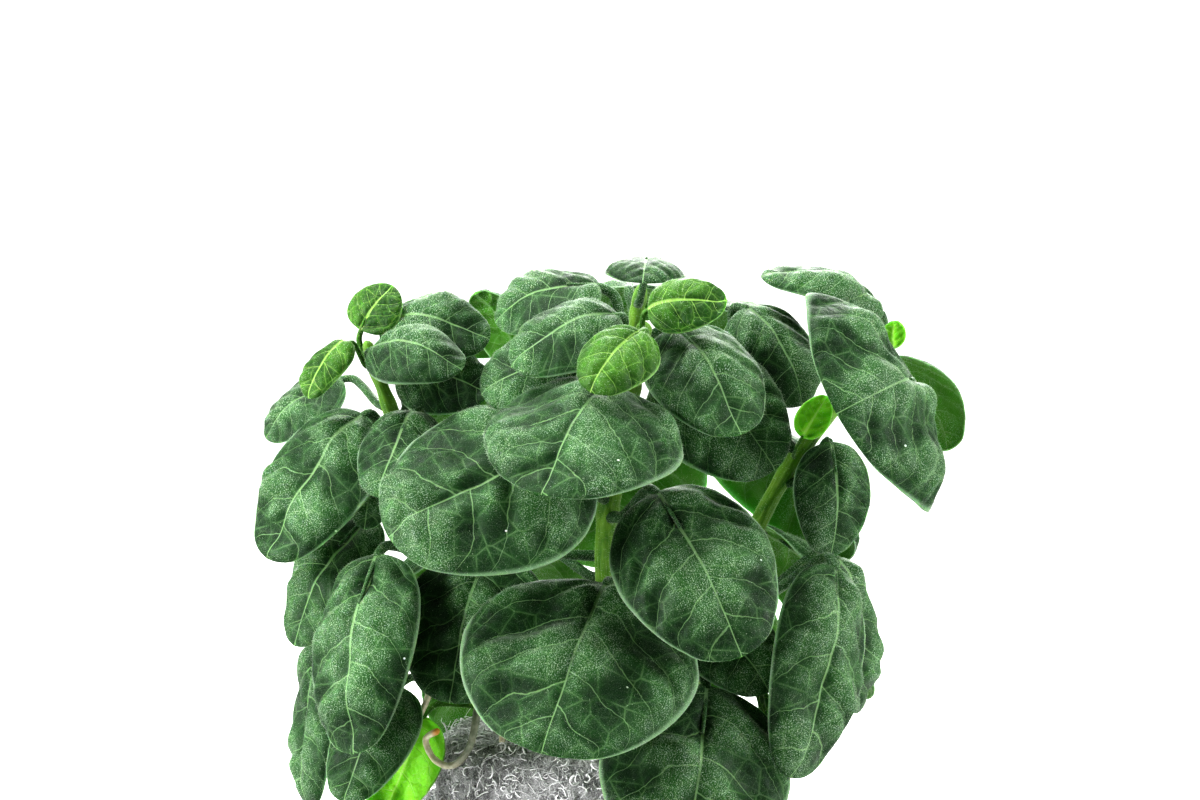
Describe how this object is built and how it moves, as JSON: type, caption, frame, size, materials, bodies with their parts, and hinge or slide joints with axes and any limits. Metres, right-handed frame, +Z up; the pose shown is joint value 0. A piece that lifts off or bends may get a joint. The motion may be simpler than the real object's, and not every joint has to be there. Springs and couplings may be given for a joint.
{
  "type": "potted basil plant",
  "caption": "Bushy herb with broad, rounded, downy leaves on branching green stems, rooted in a stone-wool plug that stands in a plain tapered pot.",
  "frame": {"origin": "centre of the pot's flat underside", "axes": "+Z up along the pot's axis, -Y towards the fuller front of the plant, +X to the right seen from the front"},
  "size_m": [0.1186, 0.0996, 0.1481],
  "materials": {
    "leaf": "downy mature leaf, deep green with pale veins",
    "young_leaf": "downy young leaf, yellow green",
    "stem": "soft green stem with short hairs",
    "root": "pale smooth young root",
    "stone_wool": "matted grey mineral fibre with glassy beads",
    "pot": "moulded matte plastic"
  },
  "bodies": {
    "root": {"stem_front": "stem", "stem_left": "stem", "stem_right": "stem", "stem_back": "stem", "front_leaf_01": "leaf", "front_leaf_02": "leaf", "front_leaf_03": "leaf", "front_leaf_04": "leaf", "front_leaf_05": "leaf", "front_leaf_06": "leaf", "front_leaf_07": "leaf", "front_leaf_08": "leaf", "front_leaf_09": "leaf", "front_leaf_10": "leaf", "front_leaf_11": "young_leaf", "front_leaf_12": "young_leaf", "front_leaf_13": "leaf", "left_leaf_01": "young_leaf", "left_leaf_02": "young_leaf", "left_leaf_03": "leaf", "left_leaf_04": "leaf", "left_leaf_05": "leaf", "left_leaf_06": "leaf", "left_leaf_07": "leaf", "left_leaf_08": "leaf", "left_leaf_09": "leaf", "left_leaf_10": "leaf", "left_leaf_11": "leaf", "left_leaf_12": "leaf", "left_leaf_13": "leaf", "left_leaf_14": "young_leaf", "right_leaf_01": "leaf", "right_leaf_02": "leaf", "right_leaf_03": "leaf", "right_leaf_04": "young_leaf", "right_leaf_05": "young_leaf", "right_leaf_06": "leaf", "right_leaf_07": "leaf", "right_leaf_08": "leaf", "right_leaf_09": "leaf", "right_leaf_10": "young_leaf", "right_leaf_11": "leaf", "back_leaf_01": "leaf", "back_leaf_02": "leaf", "back_leaf_03": "leaf", "back_leaf_04": "leaf", "back_leaf_05": "leaf", "back_leaf_06": "leaf", "back_leaf_07": "leaf", "back_leaf_08": "leaf", "back_leaf_09": "leaf", "back_leaf_10": "leaf", "back_leaf_11": "leaf", "back_leaf_12": "leaf", "root_hanging": "root", "root_curled": "root", "root_bent": "root", "root_short": "root", "stone_wool_plug": "stone_wool", "pot": "pot"}
  },
  "joints": []
}
